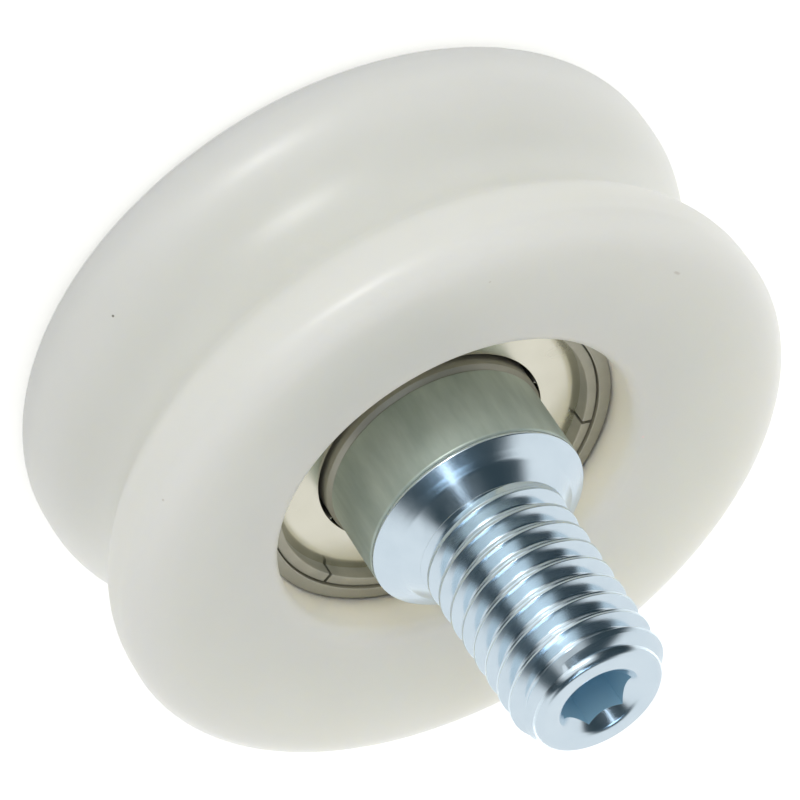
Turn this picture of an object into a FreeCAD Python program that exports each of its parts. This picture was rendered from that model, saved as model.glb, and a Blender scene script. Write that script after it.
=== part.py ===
"""Grooved roller with axle: a moulded nylon roller on a shielded ball bearing and a threaded stud.

The roller stands on its rear rim with the stud pointing up. The origin is on the axle's centre line, in
the plane of that rim, and +Z runs along the axle to the stud's end. Lengths are in millimetres and angles
in degrees.
"""
import math
import os
import re

import FreeCAD
import Part
import Sketcher

SIZES = {
    # Roller
    "roller_diameter": 45.0,
    "roller_width": 17.4,
    "rim_round": 1.7,
    "rim_flat": 0.6,
    "face_dish": 1.15,
    "hole_round": 0.9,
    "bearing_cover": 0.9,
    "groove_depth": 2.64,
    "groove_flank": 42.0,
    "groove_round": 4.5,
    "lip_round": 3.5,
    # Ball bearing
    "bearing_rear": 5.1,
    "bearing_bore": 10.0,
    "bearing_outer": 26.0,
    "ring_chamfer": 0.3,
    "pitch_diameter": 18.0,
    "ball_diameter": 4.762,
    "ball_count": 7,
    "race_gap": 0.05,
    "inner_shoulder_step": 1.6,
    "outer_shoulder_step": 1.5,
    "shield_ledge": 0.8,
    "shield_sheet": 0.3,
    "shield_depth": 0.87,
    "shield_gap": 0.24,
    "curl_depth": 0.4,
    "curl_width": 0.7,
    "curl_gap": 0.05,
    "curl_round": 0.2,
    "slit_count": 6,
    "slit_width": 0.25,
    "slit_angle": 115.4,
    "cage_band": 1.8,
    "cage_sheet": 0.3,
    "pocket_gap": 0.05,
    "side_room": 0.099,
    "rivet_diameter": 0.8,
    "rivet_head_diameter": 1.4,
    "rivet_head_height": 0.3,
    # Spacer sleeve
    "spacer_diameter": 14.4,
    "spacer_length": 5.4,
    "spacer_gap": 0.05,
    "spacer_chamfer": 0.2,
    # Axle stud
    "shank_gap": 0.02,
    "head_diameter": 13.2,
    "head_height": 1.6,
    "head_chamfer": 0.5,
    "flange_diameter": 14.36,
    "flange_edge": 0.25,
    "flare_rise": 0.85,
    "neck_step": 0.975,
    "neck_rise": 1.0,
    "thread_diameter": 9.85,
    "thread_pitch": 1.5,
    "thread_depth": 0.81,
    "thread_length": 13.8,
    "thread_start_angle": 180.0,
    "end_chamfer": 0.65,
    "end_round": 0.55,
    "socket_flats": 4.06,
    "socket_depth": 5.0,
    "socket_angle": 26.1,
    "countersink_diameter": 5.64,
    "countersink_depth": 0.79,
}

# Places along the axle, worked out from the sizes
HALF_BEARING = "(ball_diameter / 2 + pocket_gap + cage_sheet + side_room + shield_sheet + shield_depth)"
BEARING_MIDDLE = f"(bearing_rear + {HALF_BEARING})"
BEARING_FRONT = f"(bearing_rear + 2 * {HALF_BEARING})"
SPACER_TOP = f"({BEARING_FRONT} + spacer_length)"
FLARE_RING = f"({SPACER_TOP} + flange_edge + flare_rise)"
NECK_TOP = f"({FLARE_RING} + neck_rise)"
STUD_END = f"({NECK_TOP} + thread_length)"

# Radii, worked out from the sizes
PITCH_RADIUS = "(pitch_diameter / 2)"
RACE_RADIUS = "(ball_diameter / 2 + race_gap)"
INNER_SHOULDER = f"({PITCH_RADIUS} - inner_shoulder_step)"
OUTER_SHOULDER = f"({PITCH_RADIUS} + outer_shoulder_step)"
MOUTH_RADIUS = f"({OUTER_SHOULDER} + shield_ledge)"

# Thread section: its flanks lean 30 degrees, and its root is a flat a quarter of the pitch wide
THREAD_SLOPE = "30 deg"
HALF_ROOT = "(thread_pitch / 8)"
FIRST_ROOT = f"({NECK_TOP} + thread_pitch * 7 / 16)"
CUT_MARGIN = "(thread_pitch / 20)"

# Point and axis numbers that sketch constraints use
LINE_START = 1
LINE_END = 2
CIRCLE_CENTRE = 3
ORIGIN_POINT = (-1, 1)
AXIS_ACROSS = -1
AXIS_UP = -2

# Sketch curves start near here, in mm, until their constraints move them
ROUGH_PLACE = 2.0

# Two lengths in mm closer than this are the same
SAME_LENGTH = 1e-4


def bound(text):
    """Expression in which each named size is read from the sheet."""
    return re.sub(r"[a-z_]+", lambda word: f"sizes.{word[0]}" if word[0] in SIZES else word[0], text)


def make_sheet(doc):
    """Spreadsheet of the driving dimensions, one row each."""
    sheet = doc.addObject("Spreadsheet::Sheet", "sizes")
    for row, (alias, value) in enumerate(SIZES.items(), start=1):
        sheet.set(f"A{row}", alias)
        sheet.set(f"B{row}", str(value))
        sheet.setAlias(f"B{row}", alias)
    doc.recompute()


def make_body(doc, label):
    """Empty body for one piece."""
    body = doc.addObject("PartDesign::Body", label)
    body.Label = label
    return body


def origin_feature(body, role):
    """One of the body's own planes or axes."""
    return next(feature for feature in body.Origin.OriginFeatures if feature.Role == role)


def bind_constraint(sketch, constraint, text):
    """Add a dimension to a sketch and tie it to the sheet."""
    index = sketch.addConstraint(constraint)
    sketch.setExpression(f"Constraints[{index}]", bound(text))


def locate(sketch, curve, point, radius, height):
    """Fix a sketch point at a radius and a height; "0" puts it on the axis or on the base plane."""
    if radius == "0":
        sketch.addConstraint(Sketcher.Constraint("PointOnObject", curve, point, AXIS_UP))
    else:
        bind_constraint(sketch, Sketcher.Constraint("DistanceX", *ORIGIN_POINT, curve, point, 1.0), radius)
    if height == "0":
        sketch.addConstraint(Sketcher.Constraint("PointOnObject", curve, point, AXIS_ACROSS))
    else:
        bind_constraint(sketch, Sketcher.Constraint("DistanceY", *ORIGIN_POINT, curve, point, 1.0), height)


def profile_sketch(body, name):
    """Empty sketch in the plane that holds the axle's centre line."""
    sketch = body.newObject("Sketcher::SketchObject", name)
    sketch.AttachmentSupport = (origin_feature(body, "XZ_Plane"), [""])
    sketch.MapMode = "FlatFace"
    return sketch


def outline(body, name, corners):
    """Closed outline of straight runs through (radius, height) corners."""
    sketch = profile_sketch(body, name)
    count = len(corners)
    following = [(step + 1) % count for step in range(count)]
    around = [2 * math.pi * step / count for step in range(count)]
    middle = FreeCAD.Vector(ROUGH_PLACE, ROUGH_PLACE, 0)
    rough = [middle + FreeCAD.Vector(math.cos(angle), math.sin(angle), 0) for angle in around]
    for step in range(count):
        sketch.addGeometry(Part.LineSegment(rough[step], rough[following[step]]))
    for step in range(count):
        sketch.addConstraint(Sketcher.Constraint("Coincident", step, LINE_END, following[step], LINE_START))
    for step, (radius, height) in enumerate(corners):
        locate(sketch, step, LINE_START, radius, height)
    return sketch


def turn(body, kind, name, sketch):
    """Revolve a sketch about the axle, to add a solid or to cut a groove."""
    feature = body.newObject(kind, name)
    feature.Profile = sketch
    feature.ReferenceAxis = (sketch, ["V_Axis"])
    feature.Angle = 360
    return feature


def turned_body(doc, label, corners):
    """Body turned from one outline; returns it with its sketch."""
    body = make_body(doc, label)
    sketch = outline(body, f"{label}_outline", corners)
    turn(body, "PartDesign::Revolution", f"{label}_turned", sketch)
    doc.recompute()
    return body, sketch


def swept_edge(shape, radius, height):
    """Name of the circular edge of that radius at that height."""
    for number, edge in enumerate(shape.Edges, start=1):
        curve = edge.Curve
        if not isinstance(curve, Part.Circle):
            continue
        if abs(curve.Radius - radius) < SAME_LENGTH and abs(curve.Center.z - height) < SAME_LENGTH:
            return f"Edge{number}"
    raise RuntimeError(f"no edge of radius {radius} at height {height}")


def round_corners(doc, body, name, sketch, corners, size):
    """Round the edges that the outline's numbered corners sweep."""
    doc.recompute()
    base = body.Tip
    points = [sketch.getPoint(corner, LINE_START) for corner in corners]
    edges = [swept_edge(base.Shape, point.x, point.y) for point in points]
    fillet = body.newObject("PartDesign::Fillet", name)
    fillet.Base = (base, edges)
    fillet.setExpression("Radius", bound(size))


def cut_race(doc, body, name):
    """Cut the round ball track that both bearing rings share."""
    sketch = profile_sketch(body, f"{name}_section")
    sketch.addGeometry(Part.Circle(FreeCAD.Vector(ROUGH_PLACE, ROUGH_PLACE, 0), FreeCAD.Vector(0, 0, 1), 1.0))
    locate(sketch, 0, CIRCLE_CENTRE, PITCH_RADIUS, BEARING_MIDDLE)
    bind_constraint(sketch, Sketcher.Constraint("Radius", 0, 1.0), RACE_RADIUS)
    turn(body, "PartDesign::Groove", name, sketch)
    doc.recompute()


def bind_place(feature, **places):
    """Tie a feature's position to the sheet, one axis at a time."""
    for axis, text in places.items():
        feature.setExpression(f".Placement.Base.{axis}", bound(text))


def turn_about_axle(feature, text):
    """Turn a feature about the axle by an angle from the sheet."""
    feature.Placement.Rotation = FreeCAD.Rotation(FreeCAD.Vector(0, 0, 1), 1.0)
    feature.setExpression(".Placement.Rotation.Angle", bound(text))


def primitive(body, kind, name, **sizes):
    """Primitive feature of a body with its sizes tied to the sheet."""
    feature = body.newObject(kind, name)
    for size, text in sizes.items():
        feature.setExpression(size, bound(text))
    return feature


def repeat_round(doc, body, name, originals, count):
    """Repeat features evenly about the axle."""
    pattern = body.newObject("PartDesign::PolarPattern", name)
    pattern.Originals = originals
    pattern.Axis = (origin_feature(body, "Z_Axis"), [""])
    pattern.Angle = 360
    pattern.setExpression("Occurrences", bound(count))
    body.Tip = pattern
    doc.recompute()


def make_roller(doc):
    """Nylon roller: two rounded flanges, a round running groove, dished faces and the bearing seat."""
    rim = "(roller_diameter / 2)"
    dish_start = f"{rim} - rim_round - rim_flat"
    hole = "(bearing_outer / 2 - bearing_cover)"
    seat = "(bearing_outer / 2)"
    middle = "(roller_width / 2)"
    slope = "(groove_flank * 1 deg)"
    flanks_meet = f"(groove_depth + groove_round * (1 / cos{slope} - 1))"
    half_mouth = f"({flanks_meet} / tan{slope})"
    corners = [
        (hole, "face_dish"),
        (dish_start, "0"),
        (rim, "0"),
        (rim, f"{middle} - {half_mouth}"),
        (f"{rim} - {flanks_meet}", middle),
        (rim, f"{middle} + {half_mouth}"),
        (rim, "roller_width"),
        (dish_start, "roller_width"),
        (hole, "roller_width - face_dish"),
        (hole, BEARING_FRONT),
        (f"{seat} - ring_chamfer", BEARING_FRONT),
        (seat, f"{BEARING_FRONT} - ring_chamfer"),
        (seat, "bearing_rear + ring_chamfer"),
        (f"{seat} - ring_chamfer", "bearing_rear"),
        (hole, "bearing_rear"),
    ]
    body, sketch = turned_body(doc, "grooved_roller", corners)
    round_corners(doc, body, "groove_lips", sketch, (3, 5), "lip_round")
    round_corners(doc, body, "groove_bottom", sketch, (4,), "groove_round")
    round_corners(doc, body, "rim_edges", sketch, (2, 6), "rim_round")
    round_corners(doc, body, "hole_edges", sketch, (0, 8), "hole_round")
    return body


def make_outer_ring(doc):
    """Bearing outer ring with a stepped mouth for a shield at each face."""
    rim = "(bearing_outer / 2)"
    ledge = "(shield_depth + shield_sheet)"
    corners = [
        (OUTER_SHOULDER, f"bearing_rear + {ledge}"),
        (MOUTH_RADIUS, f"bearing_rear + {ledge}"),
        (MOUTH_RADIUS, "bearing_rear"),
        (f"{rim} - ring_chamfer", "bearing_rear"),
        (rim, "bearing_rear + ring_chamfer"),
        (rim, f"{BEARING_FRONT} - ring_chamfer"),
        (f"{rim} - ring_chamfer", BEARING_FRONT),
        (MOUTH_RADIUS, BEARING_FRONT),
        (MOUTH_RADIUS, f"{BEARING_FRONT} - {ledge}"),
        (OUTER_SHOULDER, f"{BEARING_FRONT} - {ledge}"),
    ]
    body, _ = turned_body(doc, "bearing_outer_ring", corners)
    cut_race(doc, body, "outer_race")
    return body


def make_inner_ring(doc):
    """Bearing inner ring, chamfered at its bore and at its shoulders."""
    bore = "(bearing_bore / 2)"
    corners = [
        (bore, "bearing_rear + ring_chamfer"),
        (f"{bore} + ring_chamfer", "bearing_rear"),
        (f"{INNER_SHOULDER} - ring_chamfer", "bearing_rear"),
        (INNER_SHOULDER, "bearing_rear + ring_chamfer"),
        (INNER_SHOULDER, f"{BEARING_FRONT} - ring_chamfer"),
        (f"{INNER_SHOULDER} - ring_chamfer", BEARING_FRONT),
        (f"{bore} + ring_chamfer", BEARING_FRONT),
        (bore, f"{BEARING_FRONT} - ring_chamfer"),
    ]
    body, _ = turned_body(doc, "bearing_inner_ring", corners)
    cut_race(doc, body, "inner_race")
    return body


def make_shield(doc, label, face, inward):
    """Pressed shield whose curled rim is slit into short lengths.

    face is the height of the bearing face it closes, and inward the sign that leads into the bearing.
    """
    rim = f"({MOUTH_RADIUS} - curl_gap)"
    curl_inside = f"({rim} - curl_width)"
    curl_top = f"({face} {inward} curl_depth)"
    sheet_top = f"({face} {inward} shield_depth)"
    sheet_under = f"({face} {inward} (shield_depth + shield_sheet))"
    hole = f"({INNER_SHOULDER} + shield_gap)"
    corners = [
        (hole, sheet_under),
        (rim, sheet_under),
        (rim, curl_top),
        (curl_inside, curl_top),
        (curl_inside, sheet_top),
        (hole, sheet_top),
    ]
    body, sketch = turned_body(doc, label, corners)
    round_corners(doc, body, f"{label}_curl", sketch, (2, 3), "curl_round")
    slit = primitive(body, "PartDesign::SubtractiveBox", f"{label}_slit",
                     Length="curl_width + 2 * curl_gap", Width="slit_width",
                     Height="shield_depth - curl_depth")
    lower = sheet_top if inward == "-" else curl_top
    bind_place(slit, x=f"{curl_inside} - curl_gap", y="-slit_width / 2", z=lower)
    repeat_round(doc, body, f"{label}_slits", [slit], "slit_count")
    turn_about_axle(body, "slit_angle")
    return body


def put_on_pitch_circle(feature, angle):
    """Put a feature on the pitch circle at an angle about the axle, keeping its height."""
    bind_place(feature, x=f"{PITCH_RADIUS} * cos{angle}", y=f"{PITCH_RADIUS} * sin{angle}")


def between_balls(feature):
    """Put a feature halfway between the first two balls, keeping its height."""
    put_on_pitch_circle(feature, "(180 deg / ball_count)")


def make_balls(doc):
    """Bearing balls, one piece each, evenly spaced on the pitch circle."""
    balls = []
    for number in range(int(SIZES["ball_count"])):
        ball = doc.addObject("Part::Sphere", f"bearing_ball_{number + 1}")
        ball.Label = ball.Name
        ball.setExpression("Radius", bound("ball_diameter / 2"))
        put_on_pitch_circle(ball, f"(360 deg * {number} / ball_count)")
        bind_place(ball, z=BEARING_MIDDLE)
        balls.append(ball)
    return balls


def make_cage_half(doc, label, outward):
    """Pressed half of the ball cage: a flat band with domed ball pockets and rivet holes between them.

    outward is the sign that leads from the bearing's middle plane to the face on this half's side.
    """
    inside = f"({PITCH_RADIUS} - cage_band / 2)"
    outside = f"({PITCH_RADIUS} + cage_band / 2)"
    band_far = f"({BEARING_MIDDLE} {outward} cage_sheet)"
    reach = "ball_diameter"
    beyond = f"({BEARING_MIDDLE} {outward} {reach})"
    behind = f"({BEARING_MIDDLE} {'-' if outward == '+' else '+'} {reach})"
    body, _ = turned_body(doc, label, [
        (inside, BEARING_MIDDLE),
        (outside, BEARING_MIDDLE),
        (outside, band_far),
        (inside, band_far),
    ])
    dome = primitive(body, "PartDesign::AdditiveSphere", f"{label}_dome",
                     Radius="ball_diameter / 2 + pocket_gap + cage_sheet")
    bind_place(dome, x=PITCH_RADIUS, z=BEARING_MIDDLE)
    repeat_round(doc, body, f"{label}_domes", [dome], "ball_count")
    trim = outline(body, f"{label}_trim_outline", [
        (f"{PITCH_RADIUS} - {reach}", behind),
        (f"{PITCH_RADIUS} + {reach}", behind),
        (f"{PITCH_RADIUS} + {reach}", beyond),
        (outside, beyond),
        (outside, BEARING_MIDDLE),
        (inside, BEARING_MIDDLE),
        (inside, beyond),
        (f"{PITCH_RADIUS} - {reach}", beyond),
    ])
    turn(body, "PartDesign::Groove", f"{label}_trim", trim)
    doc.recompute()
    pocket = primitive(body, "PartDesign::SubtractiveSphere", f"{label}_pocket",
                       Radius="ball_diameter / 2 + pocket_gap")
    bind_place(pocket, x=PITCH_RADIUS, z=BEARING_MIDDLE)
    repeat_round(doc, body, f"{label}_pockets", [pocket], "ball_count")
    hole = primitive(body, "PartDesign::SubtractiveCylinder", f"{label}_hole",
                     Radius="rivet_diameter / 2", Height="2 * cage_sheet")
    between_balls(hole)
    bind_place(hole, z=f"{BEARING_MIDDLE} - cage_sheet")
    repeat_round(doc, body, f"{label}_holes", [hole], "ball_count")
    return body


def make_rivets(doc):
    """Rivets that join the cage halves, as one group of separate solids."""
    body = make_body(doc, "cage_rivets")
    body.AllowCompound = True
    heads = f"({BEARING_MIDDLE} + cage_sheet)"
    tails = f"({BEARING_MIDDLE} - cage_sheet - rivet_head_height)"
    shank = primitive(body, "PartDesign::AdditiveCylinder", "rivet_shank",
                      Radius="rivet_diameter / 2", Height="2 * cage_sheet")
    between_balls(shank)
    bind_place(shank, z=f"{BEARING_MIDDLE} - cage_sheet")
    pieces = [shank]
    for name, height in (("rivet_head", heads), ("rivet_tail", tails)):
        head = primitive(body, "PartDesign::AdditiveCylinder", name,
                         Radius="rivet_head_diameter / 2", Height="rivet_head_height")
        between_balls(head)
        bind_place(head, z=height)
        pieces.append(head)
    doc.recompute()
    repeat_round(doc, body, "rivets_round", pieces, "ball_count")
    return body


def make_spacer(doc):
    """Bare steel sleeve between the inner ring and the stud's flange."""
    bore = "(bearing_bore / 2 + spacer_gap)"
    rim = "(spacer_diameter / 2)"
    corners = [
        (bore, BEARING_FRONT),
        (rim, BEARING_FRONT),
        (rim, f"{SPACER_TOP} - spacer_chamfer"),
        (f"{rim} - spacer_chamfer", SPACER_TOP),
        (bore, SPACER_TOP),
    ]
    body, _ = turned_body(doc, "spacer_sleeve", corners)
    return body


def cut_thread(doc, body):
    """Cut the stud's right-hand metric thread, from the neck out past the chamfered end."""
    crest = "(thread_diameter / 2)"
    root = f"({crest} - thread_depth)"
    past_crest = f"({crest} + {CUT_MARGIN})"
    half_mouth = f"({HALF_ROOT} + (thread_depth + {CUT_MARGIN}) * tan({THREAD_SLOPE}))"
    sketch = outline(body, "thread_section", [
        (root, f"{FIRST_ROOT} - {HALF_ROOT}"),
        (past_crest, f"{FIRST_ROOT} - {half_mouth}"),
        (past_crest, f"{FIRST_ROOT} + {half_mouth}"),
        (root, f"{FIRST_ROOT} + {HALF_ROOT}"),
    ])
    helix = body.newObject("PartDesign::SubtractiveHelix", "thread_groove")
    helix.Profile = sketch
    helix.ReferenceAxis = (sketch, ["V_Axis"])
    helix.Mode = "pitch-height-angle"
    helix.setExpression("Pitch", bound("thread_pitch"))
    helix.setExpression("Height", bound(f"thread_length + 2 * {HALF_ROOT}"))
    helix.Angle = 0
    helix.LeftHanded = False
    doc.recompute()


def make_stud(doc):
    """Axle stud: headed rear end, shank, flared flange, threaded end and hexagon socket."""
    head = "(head_diameter / 2)"
    shank = "(bearing_bore / 2 - shank_gap)"
    flange = "(flange_diameter / 2)"
    crest = "(thread_diameter / 2)"
    corners = [
        ("0", "bearing_rear - head_height"),
        (f"{head} - head_chamfer", "bearing_rear - head_height"),
        (head, "bearing_rear - head_height + head_chamfer"),
        (head, "bearing_rear"),
        (shank, "bearing_rear"),
        (shank, SPACER_TOP),
        (flange, SPACER_TOP),
        (flange, f"{SPACER_TOP} + flange_edge"),
        (f"{crest} + neck_step", FLARE_RING),
        (crest, NECK_TOP),
        (crest, f"{STUD_END} - end_round - end_chamfer"),
        (f"{crest} - end_chamfer", f"{STUD_END} - end_round"),
        (f"{crest} - end_chamfer - end_round", STUD_END),
        ("0", STUD_END),
    ]
    body, _ = turned_body(doc, "axle_stud", corners)
    cut_thread(doc, body)
    socket = primitive(body, "PartDesign::SubtractivePrism", "hexagon_socket",
                       Circumradius="socket_flats / sqrt(3)", Height="socket_depth")
    socket.Polygon = 6
    bind_place(socket, z=f"{STUD_END} - socket_depth")
    turn_about_axle(socket, "socket_angle - thread_start_angle")
    countersink = primitive(body, "PartDesign::SubtractiveCone", "socket_countersink",
                            Radius1="socket_flats / 2", Radius2="countersink_diameter / 2",
                            Height="countersink_depth")
    bind_place(countersink, z=f"{STUD_END} - countersink_depth")
    turn_about_axle(body, "thread_start_angle")
    doc.recompute()
    return body


def check(doc, pieces):
    """Stop if any object failed to compute or a piece isn't a sound solid."""
    for item in doc.Objects:
        if "Invalid" in item.State or "Error" in item.State:
            raise RuntimeError(f"{item.Label} failed: {item.State}")
    for piece in pieces:
        if piece.Shape.isNull() or not piece.Shape.isValid() or not piece.Shape.Solids:
            raise RuntimeError(f"{piece.Label} isn't a sound solid")


def main():
    """Build every piece, check them and write one STEP file each."""
    doc = FreeCAD.newDocument("grooved_roller_with_axle")
    make_sheet(doc)
    pieces = [
        make_roller(doc),
        make_outer_ring(doc),
        make_inner_ring(doc),
        make_shield(doc, "bearing_front_shield", BEARING_FRONT, "-"),
        make_shield(doc, "bearing_rear_shield", "bearing_rear", "+"),
        *make_balls(doc),
        make_cage_half(doc, "cage_front_half", "+"),
        make_cage_half(doc, "cage_rear_half", "-"),
        make_rivets(doc),
        make_spacer(doc),
        make_stud(doc),
    ]
    doc.recompute()
    check(doc, pieces)
    os.makedirs("parts", exist_ok=True)
    for piece in pieces:
        piece.Shape.exportStep(f"parts/{piece.Label}.step")
        print(piece.Label, len(piece.Shape.Solids), round(piece.Shape.Volume, 3))


main()
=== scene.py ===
"""Looks of the grooved roller with axle: nylon roller, ball bearing, spacer sleeve and plated stud.

Sizes are written in millimetres and become metres when a mesh is finished. +Z runs along the axle from the
rear rim, which the roller stands on, to the stud's threaded end.
"""

import logging
import math
from dataclasses import dataclass
from enum import Enum

import bmesh
import bpy
from mathutils import Matrix, Vector

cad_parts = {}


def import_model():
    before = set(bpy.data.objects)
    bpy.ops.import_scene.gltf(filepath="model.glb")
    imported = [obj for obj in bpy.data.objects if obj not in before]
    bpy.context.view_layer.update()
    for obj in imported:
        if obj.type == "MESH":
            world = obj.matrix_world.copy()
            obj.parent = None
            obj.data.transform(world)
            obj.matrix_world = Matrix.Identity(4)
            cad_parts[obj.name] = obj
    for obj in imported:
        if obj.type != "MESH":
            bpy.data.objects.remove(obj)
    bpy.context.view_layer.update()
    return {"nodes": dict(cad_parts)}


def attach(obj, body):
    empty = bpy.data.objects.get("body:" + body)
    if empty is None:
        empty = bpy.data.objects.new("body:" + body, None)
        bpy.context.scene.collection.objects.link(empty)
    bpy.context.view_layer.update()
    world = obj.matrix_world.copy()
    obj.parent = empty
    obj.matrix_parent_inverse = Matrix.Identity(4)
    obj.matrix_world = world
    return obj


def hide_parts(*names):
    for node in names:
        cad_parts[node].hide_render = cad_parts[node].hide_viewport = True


LOG = logging.getLogger("grooved_roller")
MM = 0.001
WELD = 1e-4
SAME_HEIGHT = 1e-3
ROUND_STEP = math.radians(7.5)
WHITE = "#ffffff"

# A Mix node's colour sockets, whose names its other sockets share
MIX_A = 6
MIX_B = 7
MIX_RESULT = 2


class RideOn(Enum):
    """The bodies that new pieces move with."""

    AXLE = "axle"
    ROLLER = "roller"


class Slot(Enum):
    """Names of the record's material slots."""

    NYLON = "nylon"
    RING_STEEL = "ring_steel"
    SHIELD_STEEL = "shield_steel"
    BARE_STEEL = "bare_steel"
    ZINC_PLATE = "zinc_plate"


def linear(colour: str) -> tuple[float, float, float, float]:
    """Turn an sRGB hex colour into the linear colour that nodes take.

    Args:
        colour: six hex digits with a leading hash sign.

    Returns:
        Red, green, blue and alpha in linear light.
    """
    parts = [int(colour[place:place + 2], 16) / 255 for place in (1, 3, 5)]
    light = [part / 12.92 if part <= 0.04045 else ((part + 0.055) / 1.055) ** 2.4 for part in parts]
    return (*light, 1.0)


def grey(level: float) -> tuple[float, float, float, float]:
    """The neutral linear colour of a level, with its alpha."""
    return (level, level, level, 1.0)


def pattern_scale(size: float) -> float:
    """Texture scale at which one feature of a pattern is that many millimetres across."""
    return 1.0 / (size * MM)


def add_node(tree: bpy.types.NodeTree, kind: str, inputs: dict[str | int, object] | None = None,
             **settings: object) -> bpy.types.Node:
    """Add a node with its settings, values and links.

    Args:
        tree: the node tree that the node goes into.
        kind: the node's type name.
        inputs: a value or an output socket for each named or numbered input.
        settings: the node's own properties.

    Returns:
        The new node.
    """
    node = tree.nodes.new(kind)
    for name, value in settings.items():
        setattr(node, name, value)
    for name, value in (inputs or {}).items():
        if isinstance(value, bpy.types.NodeSocket):
            tree.links.new(value, node.inputs[name])
        else:
            node.inputs[name].default_value = value
    return node


def empty_material(name: str) -> bpy.types.Material:
    """Make a node material with nothing in it yet.

    Args:
        name: the material's name.

    Returns:
        The material.
    """
    material = bpy.data.materials.new(name)
    material.use_nodes = True
    material.node_tree.nodes.clear()
    return material


@dataclass(frozen=True)
class Speck:
    """A small mark in the nylon's surface: its place and radius in mm, and its colour."""

    place: tuple[float, float, float]
    radius: float
    colour: str


@dataclass(frozen=True)
class MouldedNylon:
    """Natural nylon as it comes from the mould: off-white, satin, and lit from within near its edges."""

    name: str = "moulded_natural_nylon"
    colour: str = "#eff0ea"
    clouded: str = "#e8e9e2"
    cloud_size: float = 9.0
    cloud_detail: float = 3.0
    skin_size: float = 0.35
    skin_height: float = 0.004
    skin_strength: float = 0.6
    depth: float = 7.0
    scatter: tuple[float, float, float] = (1.0, 0.95, 0.80)
    ior: float = 1.53
    roughness: float = 0.41
    speck_core: float = 0.5
    specks: tuple[Speck, ...] = ()

    def material(self) -> bpy.types.Material:
        """Build the node material.

        Returns:
            The material.
        """
        material = empty_material(self.name)
        tree = material.node_tree
        place = add_node(tree, "ShaderNodeTexCoord").outputs["Object"]
        clouds = add_node(tree, "ShaderNodeTexNoise", {
            "Vector": place, "Scale": pattern_scale(self.cloud_size), "Detail": self.cloud_detail})
        colour = add_node(tree, "ShaderNodeMix", {
            "Factor": clouds.outputs["Fac"], MIX_A: linear(self.colour), MIX_B: linear(self.clouded)},
            data_type="RGBA")
        tint = colour.outputs[MIX_RESULT]
        for speck in self.specks:
            centre = tuple(MM * along for along in speck.place)
            distance = add_node(tree, "ShaderNodeVectorMath", {0: place, 1: centre}, operation="DISTANCE")
            cover = add_node(tree, "ShaderNodeMapRange", {
                "Value": distance.outputs["Value"], "From Min": self.speck_core * speck.radius * MM,
                "From Max": speck.radius * MM, "To Min": 1.0, "To Max": 0.0})
            marked = add_node(tree, "ShaderNodeMix", {
                "Factor": cover.outputs["Result"], MIX_A: tint, MIX_B: linear(speck.colour)},
                data_type="RGBA")
            tint = marked.outputs[MIX_RESULT]
        skin = add_node(tree, "ShaderNodeTexNoise", {
            "Vector": place, "Scale": pattern_scale(self.skin_size)})
        bump = add_node(tree, "ShaderNodeBump", {
            "Height": skin.outputs["Fac"], "Distance": self.skin_height * MM,
            "Strength": self.skin_strength})
        shader = add_node(tree, "ShaderNodeBsdfPrincipled", {
            "Base Color": tint, "Roughness": self.roughness, "IOR": self.ior,
            "Subsurface Weight": 1.0, "Subsurface Radius": self.scatter,
            "Subsurface Scale": self.depth * MM, "Normal": bump.outputs["Normal"]})
        add_node(tree, "ShaderNodeOutputMaterial", {"Surface": shader.outputs["BSDF"]})
        return material


@dataclass(frozen=True)
class TurnedMetal:
    """Metal that was turned, ground or pressed: fine rings about the axle over a clouded colour."""

    name: str
    colour: str
    clouded: str
    cloud_size: float
    ring_size: float
    ring_height: float
    smoothest: float
    roughest: float
    metallic: float = 1.0
    drawn_out: float = 1.0
    cloud_detail: float = 4.0
    cloud_roughness: float = 0.6
    cloud_range: tuple[float, float] = (0.3, 0.7)

    def material(self) -> bpy.types.Material:
        """Build the node material.

        Returns:
            The material.
        """
        material = empty_material(self.name)
        tree = material.node_tree
        place = add_node(tree, "ShaderNodeTexCoord").outputs["Object"]
        parts = add_node(tree, "ShaderNodeSeparateXYZ", {"Vector": place})
        across = add_node(tree, "ShaderNodeCombineXYZ", {"X": parts.outputs["X"], "Y": parts.outputs["Y"]})
        radius = add_node(tree, "ShaderNodeVectorMath", {0: across.outputs["Vector"]}, operation="LENGTH")
        section = add_node(tree, "ShaderNodeCombineXYZ", {
            "X": radius.outputs["Value"], "Y": parts.outputs["Z"]})
        rings = add_node(tree, "ShaderNodeTexNoise", {
            "Vector": section.outputs["Vector"], "Scale": pattern_scale(self.ring_size)})
        drawn = add_node(tree, "ShaderNodeVectorMath", {
            0: place, 1: (1.0, 1.0, 1.0 / self.drawn_out)}, operation="MULTIPLY")
        clouds = add_node(tree, "ShaderNodeTexNoise", {
            "Vector": drawn.outputs["Vector"], "Scale": pattern_scale(self.cloud_size),
            "Detail": self.cloud_detail, "Roughness": self.cloud_roughness})
        colour = add_node(tree, "ShaderNodeMix", {
            "Factor": clouds.outputs["Fac"], MIX_A: linear(self.colour), MIX_B: linear(self.clouded)},
            data_type="RGBA")
        roughness = add_node(tree, "ShaderNodeMapRange", {
            "Value": clouds.outputs["Fac"], "From Min": self.cloud_range[0],
            "From Max": self.cloud_range[1], "To Min": self.smoothest, "To Max": self.roughest})
        bump = add_node(tree, "ShaderNodeBump", {
            "Height": rings.outputs["Fac"], "Distance": self.ring_height * MM, "Strength": 1.0})
        shader = add_node(tree, "ShaderNodeBsdfPrincipled", {
            "Base Color": colour.outputs[MIX_RESULT], "Metallic": self.metallic,
            "Roughness": roughness.outputs["Result"], "Normal": bump.outputs["Normal"]})
        add_node(tree, "ShaderNodeOutputMaterial", {"Surface": shader.outputs["BSDF"]})
        return material


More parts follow.
